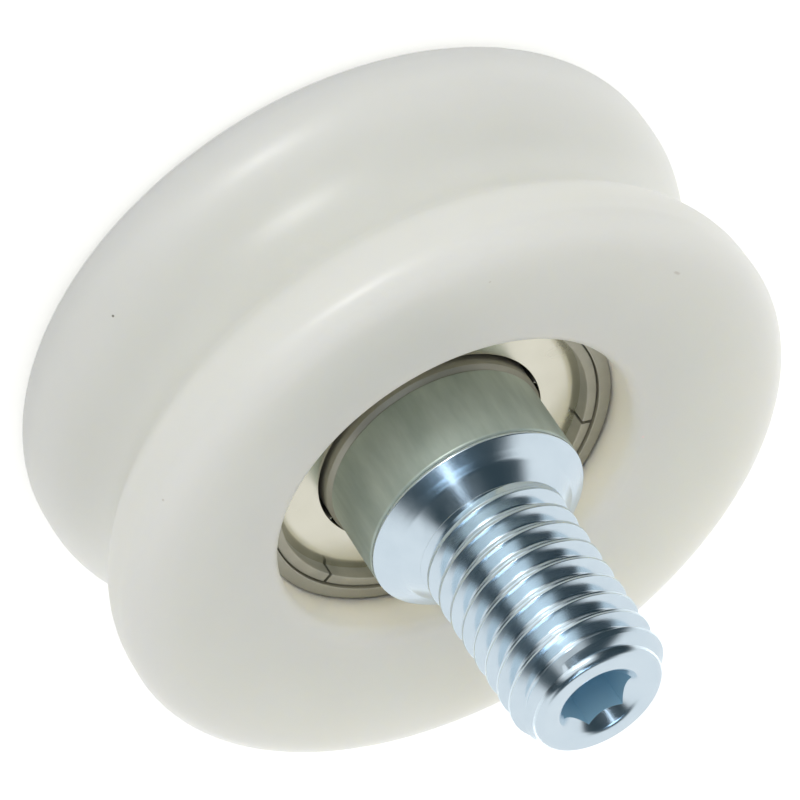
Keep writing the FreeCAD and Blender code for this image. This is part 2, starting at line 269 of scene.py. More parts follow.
# Natural nylon, injection moulded: milky off-white with a satin skin
NYLON = MouldedNylon(specks=(
    Speck((18.65, 11.33, 4.77), 0.10, "#7b786e"),
    Speck((8.17, -17.86, 17.33), 0.14, "#dbd9d0"),
    Speck((8.01, -17.92, 17.32), 0.14, "#d6d4cb"),
    Speck((7.85, -17.98, 17.31), 0.14, "#dbd9d0"),
    Speck((17.58, -8.15, 17.28), 0.10, "#dad8cf"),
    Speck((16.72, 14.62, 16.65), 0.10, "#dad8cf"),
    Speck((-5.96, -11.29, 16.34), 0.10, "#ffe6e2"),
))
# Through-hardened bearing steel, ground: mid grey with a soft sheen
RING_STEEL = TurnedMetal(
    name="ground_bearing_steel", colour="#b3b2a8", clouded="#a5a499", cloud_size=3.0, ring_size=0.05,
    ring_height=0.0008, smoothest=0.40, roughest=0.50, metallic=0.8)
# Cold-rolled sheet, pressed: bright, slightly yellow from its oil film
SHIELD_STEEL = TurnedMetal(
    name="pressed_bright_sheet", colour="#e3e1d2", clouded="#d7d4c3", cloud_size=4.0, ring_size=0.08,
    ring_height=0.0004, smoothest=0.20, roughest=0.30)
# The shield's crimped curl: rougher than the sheet, and greyer and darker, partly as painted shade from
# the nylon wall beside it
CRIMPED_EDGE_AND_SHADE = TurnedMetal(
    name="crimped_shield_edge_and_shade", colour="#b4b3a8", clouded="#a3a297", cloud_size=1.2, ring_size=0.08,
    ring_height=0.0008, smoothest=0.45, roughest=0.55, metallic=0.7)
# Bearing balls, lapped: a clean mirror
BALL_STEEL = TurnedMetal(
    name="lapped_ball_steel", colour="#cfcfcf", clouded="#c4c4c4", cloud_size=3.0, ring_size=0.05,
    ring_height=0.0001, smoothest=0.04, roughest=0.07)
# Cage sheet, pressed and tumbled: dull and even
CAGE_STEEL = TurnedMetal(
    name="tumbled_cage_sheet", colour="#b4b1a9", clouded="#a09d95", cloud_size=1.5, ring_size=0.1,
    ring_height=0.0008, smoothest=0.32, roughest=0.45)
# Bare mild steel, turned and oiled: dull grey with a faint green cast, in streaks along the axle
BARE_STEEL = TurnedMetal(
    name="bare_turned_steel", colour="#dae6de", clouded="#88988f", cloud_size=2.2, ring_size=0.12,
    ring_height=0.002, smoothest=0.42, roughest=0.55, metallic=0.55, drawn_out=4.0)
# Zinc plate with clear passivation: bright, with a cool blue cast
ZINC_PLATE = TurnedMetal(
    name="blue_passivated_zinc", colour="#d6e4ed", clouded="#cadae5", cloud_size=2.0, ring_size=0.09,
    ring_height=0.0004, smoothest=0.17, roughest=0.25)
# The same plate deep in the socket: rougher and partly diffuse, in an even slate blue that is partly the
# plate's own blue and partly painted shade and dark reflection
SOCKET_PLATE_PAINTED_SLATE = TurnedMetal(
    name="dull_socket_plate_painted_slate", colour="#b0d8ea", clouded="#a4cde0", cloud_size=2.0, ring_size=0.09,
    ring_height=0.0005, smoothest=0.50, roughest=0.60, metallic=0.35)


@dataclass(frozen=True)
class Corner:
    """A corner of a turned outline: radius, height and how much it is rounded, in mm."""

    radius: float
    height: float
    rounding: float = 0.0

    def point(self) -> Vector:
        """The corner's place in the plane of the outline."""
        return Vector((self.radius, 0.0, self.height))


class Outline:
    """A chain of edges in the plane of the axle, drawn with one pen vertex."""

    def __init__(self, mesh: bmesh.types.BMesh) -> None:
        """Start with no line drawn."""
        self.mesh = mesh
        self.drawn: list[bmesh.types.BMVert] = []

    def line_to(self, point: Vector) -> None:
        """Draw a straight run to a point, or set the pen down there.

        Args:
            point: the place in the outline's plane.
        """
        if not self.drawn:
            self.drawn.append(self.mesh.verts.new(point))
            return
        if (self.drawn[-1].co - point).length < WELD:
            return
        grown = bmesh.ops.extrude_vert_indiv(self.mesh, verts=[self.drawn[-1]])
        pen = grown["verts"][0]
        pen.co = point
        self.drawn.append(pen)

    def arc(self, centre: Vector, angle: float) -> None:
        """Draw an arc from the pen.

        Args:
            centre: the arc's centre.
            angle: how far it turns, counter-clockwise where it is positive.
        """
        steps = max(2, math.ceil(abs(angle) / ROUND_STEP))
        for _ in range(steps):
            turned = bmesh.ops.spin(self.mesh, geom=[self.drawn[-1]], cent=centre, axis=(0.0, -1.0, 0.0),
                                    angle=angle / steps, steps=1, use_merge=False, use_duplicate=False)
            self.drawn.extend(part for part in turned["geom_last"] if isinstance(part, bmesh.types.BMVert))

    def draw(self, corners: list[Corner], closed: bool) -> list[bmesh.types.BMVert]:
        """Draw an outline through rounded corners.

        Args:
            corners: the corners in order.
            closed: whether the last corner runs on to the first.

        Returns:
            The outline's vertices in order.
        """
        count = len(corners)
        for index, corner in enumerate(corners):
            point = corner.point()
            loose_end = not closed and index in (0, count - 1)
            if loose_end or corner.rounding == 0.0:
                self.line_to(point)
                continue
            before = (point - corners[index - 1].point()).normalized()
            after = (corners[(index + 1) % count].point() - point).normalized()
            turn = math.atan2(before.x * after.z - before.z * after.x, before.dot(after))
            reach = corner.rounding * math.tan(abs(turn) / 2)
            side = math.copysign(1.0, turn)
            start = point - before * reach
            centre = start + Vector((-before.z, 0.0, before.x)) * (side * corner.rounding)
            self.line_to(start)
            self.arc(centre, turn)
        if closed:
            self.mesh.edges.new((self.drawn[-1], self.drawn[0]))
        return self.drawn


def chain_geometry(verts: list[bmesh.types.BMVert]) -> list:
    """The vertices of an outline together with the edges between them."""
    edges = {edge for vert in verts for edge in vert.link_edges}
    return [*verts, *edges]


def turn_round(mesh: bmesh.types.BMesh, corners: list[Corner], steps: int, closed: bool = True) -> None:
    """Draw an outline and turn it once about the axle.

    Args:
        mesh: the mesh that takes the turned shape.
        corners: the outline's corners.
        steps: how many facets go round.
        closed: whether the outline is a closed section.
    """
    verts = Outline(mesh).draw(corners, closed)
    bmesh.ops.spin(mesh, geom=chain_geometry(verts), cent=(0, 0, 0), axis=(0, 0, 1), angle=2 * math.pi,
                   steps=steps, use_merge=True, use_duplicate=False)
    bmesh.ops.remove_doubles(mesh, verts=mesh.verts, dist=WELD)


def rim_loop(mesh: bmesh.types.BMesh, height: float) -> list[bmesh.types.BMEdge]:
    """The open edges that lie at a height."""
    return [edge for edge in mesh.edges if edge.is_boundary
            and all(abs(vert.co.z - height) < SAME_HEIGHT for vert in edge.verts)]


@dataclass
class PieceMaker:
    """Turns finished meshes into pieces that ride on their body and stand for their CAD node."""

    sharp: float = math.radians(32)

    def piece(self, mesh: bmesh.types.BMesh, node: str, body: RideOn, slot: Slot,
              *finishes: bpy.types.Material) -> bpy.types.Object:
        """Close, orient and dress a mesh, and put it in place of its CAD node.

        Args:
            mesh: the shape in millimetres; it is freed here.
            node: the CAD node that the piece stands for.
            body: the body that it moves with.
            slot: the record's material slot; not used.
            finishes: its finish, and those of the faces with a higher material index.

        Returns:
            The new object.
        """
        bmesh.ops.remove_doubles(mesh, verts=mesh.verts, dist=WELD)
        bmesh.ops.recalc_face_normals(mesh, faces=mesh.faces)
        bmesh.ops.scale(mesh, vec=(MM, MM, MM), verts=mesh.verts)
        for face in mesh.faces:
            face.smooth = True
        data = bpy.data.meshes.new(f"{node}_shape")
        mesh.to_mesh(data)
        mesh.free()
        data.set_sharp_from_angle(angle=self.sharp)
        for finish in finishes:
            data.materials.append(finish)
        made = bpy.data.objects.new(f"{node}_dressed", data)
        bpy.context.scene.collection.objects.link(made)
        made.modifiers.new("even_shading", "WEIGHTED_NORMAL").keep_sharp = True
        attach(made, body.value)
        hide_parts(node)
        LOG.info("%s: %d faces", made.name, len(data.polygons))
        return made


@dataclass
class Roller:
    """Moulded nylon roller with a round running groove between two rounded flanges."""

    maker: PieceMaker
    rim: float = 22.5
    width: float = 17.4
    rim_round: float = 1.7
    rim_flat: float = 0.6
    face_dish: float = 1.15
    hole: float = 12.1
    hole_round: float = 0.9
    seat: float = 13.0
    seat_rear: float = 5.1
    seat_front: float = 13.1
    seat_corner: float = 0.3
    groove_depth: float = 2.64
    groove_flank: float = math.radians(42)
    groove_round: float = 4.5
    lip_round: float = 3.5
    steps: int = 288

    def build(self) -> bpy.types.Object:
        """Make the roller.

        Returns:
            The roller's object.
        """
        middle = self.width / 2
        flanks_meet = self.groove_depth + self.groove_round * (1 / math.cos(self.groove_flank) - 1)
        half_mouth = flanks_meet / math.tan(self.groove_flank)
        dish_start = self.rim - self.rim_round - self.rim_flat
        corners = [
            Corner(self.hole, self.face_dish, self.hole_round),
            Corner(dish_start, 0.0),
            Corner(self.rim, 0.0, self.rim_round),
            Corner(self.rim, middle - half_mouth, self.lip_round),
            Corner(self.rim - flanks_meet, middle, self.groove_round),
            Corner(self.rim, middle + half_mouth, self.lip_round),
            Corner(self.rim, self.width, self.rim_round),
            Corner(dish_start, self.width),
            Corner(self.hole, self.width - self.face_dish, self.hole_round),
            Corner(self.hole, self.seat_front),
            Corner(self.seat - self.seat_corner, self.seat_front),
            Corner(self.seat, self.seat_front - self.seat_corner),
            Corner(self.seat, self.seat_rear + self.seat_corner),
            Corner(self.seat - self.seat_corner, self.seat_rear),
            Corner(self.hole, self.seat_rear),
        ]
        mesh = bmesh.new()
        turn_round(mesh, corners, self.steps)
        return self.maker.piece(mesh, "grooved_roller", RideOn.ROLLER, Slot.NYLON, NYLON.material())


@dataclass
class Bearing:
    """Shielded ball bearing: two rings, two pressed shields, and the balls and cage that they hide."""

    maker: PieceMaker
    nodes: dict[str, bpy.types.Object]
    bore: float = 5.0
    rim: float = 13.0
    rear: float = 5.1
    front: float = 13.1
    edge: float = 0.3
    edge_round: float = 0.05
    inner_shoulder: float = 7.4
    outer_shoulder: float = 10.5
    mouth: float = 11.3
    shield_depth: float = 0.87
    shield_sheet: float = 0.3
    shield_hole: float = 7.64
    curl_depth: float = 0.2
    curl_width: float = 0.7
    curl_gap: float = 0.05
    curl_round: float = 0.1
    sunk_depth: float = 0.26
    sunk_inside: float = 9.9
    sunk_round: float = 2.0
    slit_width: float = 0.25
    slit_count: int = 6
    slit_angle: float = math.radians(115.4)
    pitch_radius: float = 9.0
    race_radius: float = 2.431
    race_steps: int = 12
    steps: int = 192

    def race(self, shoulder: float, outward: bool) -> list[Corner]:
        """Corners of the ball track, as short runs along its round section.

        Args:
            shoulder: radius of the ring's shoulder beside the track.
            outward: whether the track is cut into the outer ring.

        Returns:
            The corners from the rear shoulder to the front one.
        """
        middle = (self.rear + self.front) / 2
        half = math.acos(abs(shoulder - self.pitch_radius) / self.race_radius)
        side = 1.0 if outward else -1.0
        angles = [half * (2 * step / self.race_steps - 1) for step in range(self.race_steps + 1)]
        return [Corner(self.pitch_radius + side * self.race_radius * math.cos(angle),
                       middle + self.race_radius * math.sin(angle)) for angle in angles]

    def outer_ring(self, steel: bpy.types.Material) -> bpy.types.Object:
        """Make the ring that the roller is moulded round.

        Args:
            steel: the ring's finish.

        Returns:
            The ring's object.
        """
        ledge = self.shield_depth + self.shield_sheet
        corners = [
            *reversed(self.race(self.outer_shoulder, True)),
            Corner(self.outer_shoulder, self.rear + ledge),
            Corner(self.mouth, self.rear + ledge),
            Corner(self.mouth, self.rear, self.edge_round),
            Corner(self.rim - self.edge, self.rear),
            Corner(self.rim, self.rear + self.edge),
            Corner(self.rim, self.front - self.edge),
            Corner(self.rim - self.edge, self.front),
            Corner(self.mouth, self.front, self.edge_round),
            Corner(self.mouth, self.front - ledge),
            Corner(self.outer_shoulder, self.front - ledge),
        ]
        mesh = bmesh.new()
        turn_round(mesh, corners, self.steps)
        return self.maker.piece(mesh, "bearing_outer_ring", RideOn.ROLLER, Slot.RING_STEEL, steel)

    def inner_ring(self, steel: bpy.types.Material) -> bpy.types.Object:
        """Make the ring that is clamped on the stud.

        Args:
            steel: the ring's finish.

        Returns:
            The ring's object.
        """
        corners = [
            Corner(self.bore, self.rear + self.edge),
            Corner(self.bore + self.edge, self.rear),
            Corner(self.inner_shoulder - self.edge, self.rear, self.edge_round),
            Corner(self.inner_shoulder, self.rear + self.edge, self.edge_round),
            *self.race(self.inner_shoulder, False),
            Corner(self.inner_shoulder, self.front - self.edge, self.edge_round),
            Corner(self.inner_shoulder - self.edge, self.front, self.edge_round),
            Corner(self.bore + self.edge, self.front),
            Corner(self.bore, self.front - self.edge),
        ]
        mesh = bmesh.new()
        turn_round(mesh, corners, self.steps)
        return self.maker.piece(mesh, "bearing_inner_ring", RideOn.AXLE, Slot.RING_STEEL, steel)

    def shield(self, node: str, face: float, inward: float,
               steel: tuple[bpy.types.Material, ...]) -> bpy.types.Object:
        """Make one pressed shield with its slit curl.

        Args:
            node: the CAD node that it stands for.
            face: height of the bearing face that it closes.
            inward: sign of the way into the bearing.
            steel: the finishes of its disc and its curl.

        Returns:
            The shield's object.
        """
        rim = self.mouth - self.curl_gap
        curl_inside = rim - self.curl_width
        curl_top = face + inward * self.curl_depth
        sheet_top = face + inward * self.shield_depth
        sheet_under = sheet_top + inward * self.shield_sheet
        sunk_top = sheet_top + inward * self.sunk_depth
        mesh = bmesh.new()
        turn_round(mesh, [
            Corner(self.shield_hole, sheet_under),
            Corner(rim, sheet_under),
            Corner(rim, sunk_top),
            Corner(curl_inside, sunk_top),
            Corner(self.sunk_inside, sheet_top, self.sunk_round),
            Corner(self.shield_hole, sheet_top, self.edge_round),
        ], self.steps)
        disc = set(mesh.faces)
        whole = 2 * math.pi / self.slit_count
        half_slit = math.asin(self.slit_width / 2 / curl_inside)
        for number in range(self.slit_count):
            verts = Outline(mesh).draw([
                Corner(rim, sunk_top),
                Corner(rim, curl_top, self.curl_round),
                Corner(curl_inside, curl_top, self.curl_round),
                Corner(curl_inside, sunk_top),
            ], closed=True)
            start = self.slit_angle + number * whole + half_slit
            bmesh.ops.rotate(mesh, cent=(0, 0, 0), matrix=Matrix.Rotation(start, 3, "Z"), verts=verts)
            bmesh.ops.spin(mesh, geom=chain_geometry(verts), cent=(0, 0, 0), axis=(0, 0, 1),
                           angle=whole - 2 * half_slit, steps=self.steps // self.slit_count,
                           use_merge=False, use_duplicate=False)
        bmesh.ops.holes_fill(mesh, edges=[edge for edge in mesh.edges if edge.is_boundary], sides=0)
        # The curl faces take the second finish, whose darker grey is partly painted shade.
        for part in mesh.faces:
            part.material_index = 0 if part in disc else 1
        return self.maker.piece(mesh, node, RideOn.ROLLER, Slot.SHIELD_STEEL, *steel)

    def dress_inside(self) -> None:
        """Give the hidden balls, cage halves and rivets their finishes."""
        ball = BALL_STEEL.material()
        cage = CAGE_STEEL.material()
        for name, node in self.nodes.items():
            if name.startswith("bearing_ball"):
                node.data.materials.clear()
                node.data.materials.append(ball)
            elif name.startswith("cage"):
                node.data.materials.clear()
                node.data.materials.append(cage)

    def build(self) -> list[bpy.types.Object]:
        """Make and dress every piece of the bearing.

        Returns:
            The new objects.
        """
        ring_steel = RING_STEEL.material()
        # The curl's finish is greyer and darker than the disc's, partly as painted shade.
        shield_steel = (SHIELD_STEEL.material(), CRIMPED_EDGE_AND_SHADE.material())
        self.dress_inside()
        return [
            self.outer_ring(ring_steel),
            self.inner_ring(ring_steel),
            self.shield("bearing_front_shield", self.front, -1.0, shield_steel),
            self.shield("bearing_rear_shield", self.rear, 1.0, shield_steel),
        ]


@dataclass
class Spacer:
    """Bare steel sleeve between the bearing and the stud's flange."""

    maker: PieceMaker
    bore: float = 5.05
    rim: float = 7.2
    rear: float = 13.1
    front: float = 18.5
    edge: float = 0.2
    steps: int = 192

    def build(self) -> bpy.types.Object:
        """Make the sleeve.

        Returns:
            The sleeve's object.
        """
        mesh = bmesh.new()
        turn_round(mesh, [
            Corner(self.bore, self.rear),
            Corner(self.rim, self.rear, self.edge / 2),
            Corner(self.rim, self.front, self.edge),
            Corner(self.bore, self.front),
        ], self.steps)
        return self.maker.piece(mesh, "spacer_sleeve", RideOn.AXLE, Slot.BARE_STEEL, BARE_STEEL.material())


@dataclass
class Stud:
    """Plated axle stud: headed rear end, shank, flared flange, rolled thread and hexagon socket."""

    maker: PieceMaker
    head: float = 6.6
    head_rear: float = 3.5
    head_front: float = 5.1
    head_edge: float = 0.5
    shank: float = 5.0
    flange: float = 7.18
    flange_rear: float = 18.5
    flange_front: float = 18.75
    flange_round: float = 0.1
    flare: float = 5.9
    flare_height: float = 19.6
    flare_round: float = 1.2
    turned_lines: tuple[float, float] = (6.45, 6.06)
    line_width: float = 0.10
    line_height: float = 0.002
    neck_height: float = 20.6
    crest: float = 4.925
    pitch: float = 1.5
    flank_angle: float = math.radians(30)
    turns_below: int = 2
    depth: float = 0.81
    half_crest: float = 0.13
    crest_dip: float = 0.03
    crest_round: float = 0.05
    root_round: float = 0.16
    first_crest: float = 21.29
    run_in: float = 0.7
    chamfer: float = 0.65
    chamfer_slope: float = math.tan(math.radians(38))
    end_round: float = 0.55
    end: float = 34.4
    socket_flats: float = 4.06
    socket_depth: float = 5.0
    socket_angle: float = math.radians(26.1)
    countersink: float = 2.82
    countersink_depth: float = 0.79
    countersink_round: float = 0.74
    seam: float = 0.02
    steps: int = 192
    thread_steps: int = 120

    def socket_wall(self, angle: float) -> float:
        """Work out how far the socket's wall is from the axle.

        Args:
            angle: the direction round the axle.

        Returns:
            The distance in mm.
        """
        side = math.pi / 3
        from_middle = (angle - self.socket_angle) % side - side / 2
        return self.socket_flats / 2 / math.cos(from_middle)

    def end_face(self, mesh: bmesh.types.BMesh) -> None:
        """Add the rounded end with its countersunk hexagon socket.

        Args:
            mesh: the mesh that takes the end.
        """
        rim = self.crest - self.chamfer
        slope = self.countersink_depth / (self.countersink - self.socket_flats / 2)
        inside = self.countersink - self.countersink_round / 2
        mouth = self.end - (self.countersink - inside) * slope
        turn_round(mesh, [
            Corner(rim, self.end - self.end_round),
            Corner(rim, self.end, self.end_round),
            Corner(self.countersink, self.end, self.countersink_round),
            Corner(inside, mouth),
        ], self.steps, closed=False)
        turned = Matrix.Rotation(self.socket_angle, 3, "Z")
        bmesh.ops.rotate(mesh, cent=(0, 0, 0), matrix=turned, verts=mesh.verts)
        lip = bmesh.ops.extrude_edge_only(mesh, edges=rim_loop(mesh, mouth))
        walls = [part for part in lip["geom"] if isinstance(part, bmesh.types.BMVert)]
        for vert in walls:
            around = math.atan2(vert.co.y, vert.co.x)
            reach = self.socket_wall(around)
            height = self.end - (self.countersink - reach) * slope
            vert.co = Vector((reach * math.cos(around), reach * math.sin(around), height))
        ring = [edge for edge in mesh.edges
                if edge.is_boundary and all(vert in walls for vert in edge.verts)]
        bottom = bmesh.ops.extrude_edge_only(mesh, edges=ring)
        floor = self.end - self.socket_depth
        for part in bottom["geom"]:
            if isinstance(part, bmesh.types.BMVert):
                part.co.z = floor
        bmesh.ops.holes_fill(mesh, edges=rim_loop(mesh, floor), sides=0)
        # The socket's walls and floor take the second finish, with its painted slate-blue shade.
        for face in mesh.faces:
            if any(vert.co.z < floor + WELD for vert in face.verts):
                face.material_index = 1

    def thread(self, mesh: bmesh.types.BMesh) -> None:
        """Add the rolled thread: one turn, carried up the stud and trimmed to its ends.

        Args:
            mesh: the mesh that takes the thread.
        """
        root = self.crest - self.depth
        flank = self.depth * math.tan(self.flank_angle)
        base = self.first_crest - self.turns_below * self.pitch
        turns = math.ceil((self.end - base) / self.pitch)
        verts = Outline(mesh).draw([
            Corner(self.crest - self.crest_dip, base),
            Corner(self.crest, base + self.half_crest, self.crest_round),
            Corner(root, base + self.half_crest + flank, self.root_round),
            Corner(root, base + self.pitch - self.half_crest - flank, self.root_round),
            Corner(self.crest, base + self.pitch - self.half_crest, self.crest_round),
            Corner(self.crest - self.crest_dip, base + self.pitch),
        ], closed=False)
        bmesh.ops.spin(mesh, geom=chain_geometry(verts), cent=(0, 0, 0), axis=(0, 0, 1),
                       dvec=(0, 0, self.pitch / self.thread_steps), angle=2 * math.pi,
                       steps=self.thread_steps, use_merge=False, use_duplicate=False)
        first_turn = [*mesh.verts, *mesh.edges, *mesh.faces]
        for turn in range(1, turns):
            copied = bmesh.ops.duplicate(mesh, geom=first_turn)["geom"]
            risen = [part for part in copied if isinstance(part, bmesh.types.BMVert)]
            bmesh.ops.translate(mesh, vec=(0, 0, turn * self.pitch), verts=risen)
        bmesh.ops.remove_doubles(mesh, verts=mesh.verts, dist=WELD)
        end = self.end - self.end_round - self.seam
        chamfer_start = end + self.seam - self.chamfer / self.chamfer_slope
        for height in (self.neck_height, chamfer_start, end):
            bmesh.ops.bisect_plane(mesh, geom=[*mesh.verts, *mesh.edges, *mesh.faces], dist=WELD,
                                   plane_co=(0, 0, height), plane_no=(0, 0, 1),
                                   clear_inner=height == self.neck_height, clear_outer=height == end)
        for vert in mesh.verts:
            across = vert.co.xy.length
            sunk = min(1.0, max(0.0, (vert.co.z - self.neck_height) / self.run_in))
            lowest = self.crest - self.depth * sunk
            highest = self.crest - max(0.0, vert.co.z - chamfer_start) * self.chamfer_slope
            wanted = min(highest, max(lowest, across))
            vert.co.xy *= wanted / across

    def turned_line(self, radius: float) -> list[Corner]:
        """Corners of one fine line that the turning tool left on the flare.

        Args:
            radius: the line's radius in mm.

        Returns:
            The line's foot, top and foot, from the rim inwards.
        """
        slope = (self.flare_height - self.flange_front) / (self.flange - self.flare)
        corners = []
        for part in (1, 0, -1):
            across = radius + part * self.line_width / 2
            height = self.flange_front + (self.flange - across) * slope
            corners.append(Corner(across, height + (0.0 if part else self.line_height)))
        return corners

    def body_end(self, mesh: bmesh.types.BMesh) -> None:
        """Add the turned part from the rear head to the neck below the thread.

        Args:
            mesh: the mesh that takes it.
        """
        turn_round(mesh, [
            Corner(0.0, self.head_rear),
            Corner(self.head - self.head_edge, self.head_rear, self.flange_round),
            Corner(self.head, self.head_rear + self.head_edge, self.flange_round),
            Corner(self.head, self.head_front),
            Corner(self.shank, self.head_front),
            Corner(self.shank, self.flange_rear),
            Corner(self.flange, self.flange_rear, self.flange_round),
            Corner(self.flange, self.flange_front, self.flange_round),
            *(corner for radius in self.turned_lines for corner in self.turned_line(radius)),
            Corner(self.flare, self.flare_height, self.flare_round),
            Corner(self.crest, self.neck_height - self.seam),
        ], self.steps, closed=False)

    def build(self) -> bpy.types.Object:
        """Make the stud.

        Returns:
            The stud's object.
        """
        whole = bmesh.new()
        for make in (self.end_face, self.thread, self.body_end):
            part = bmesh.new()
            make(part)
            carrier = bpy.data.meshes.new("stud_part")
            part.to_mesh(carrier)
            part.free()
            whole.from_mesh(carrier)
            bpy.data.meshes.remove(carrier)
        bmesh.ops.remove_doubles(whole, verts=whole.verts, dist=WELD)
        neck = [*rim_loop(whole, self.neck_height - self.seam), *rim_loop(whole, self.neck_height)]
        bmesh.ops.bridge_loops(whole, edges=neck)
        bmesh.ops.bridge_loops(whole, edges=[edge for edge in whole.edges if edge.is_boundary])
        # The second finish, for the socket, carries painted slate-blue shade and reflection.
        return self.maker.piece(whole, "axle_stud", RideOn.AXLE, Slot.ZINC_PLATE, ZINC_PLATE.material(),
                                SOCKET_PLATE_PAINTED_SLATE.material())


@dataclass(frozen=True)
class Lamp:
    """A soft lamp, with metres for its place and the size of its face, and watts for its power.

    A mirrored lamp is there for shiny surfaces to show, and the others give light.
    """

    name: str
    place: tuple[float, float, float]
    size: tuple[float, float]
    power: float
    colour: str = WHITE
    mirrored: bool = False
    outward: bool = False

    def build(self) -> bpy.types.Object:
        """Hang the lamp so that it faces the roller, or away from the axle if it stands in the hole.

        Returns:
            The lamp's object.
        """
        data = bpy.data.lights.new(self.name, "AREA")
        data.shape = "RECTANGLE"
        data.size, data.size_y = self.size
        data.energy = self.power
        data.color = linear(self.colour)[:3]
        made = bpy.data.objects.new(self.name, data)
        made.location = self.place
        around = math.atan2(self.place[1], self.place[0])
        lean = math.atan2(math.hypot(self.place[0], self.place[1]), self.place[2])
        facing_out = (0.0, math.pi / 2, around + math.pi)
        made.rotation_euler = facing_out if self.outward else (0.0, lean, around)
        made.visible_camera = False
        made.visible_glossy = self.mirrored
        made.visible_diffuse = not self.mirrored
        bpy.context.scene.collection.objects.link(made)
        return made


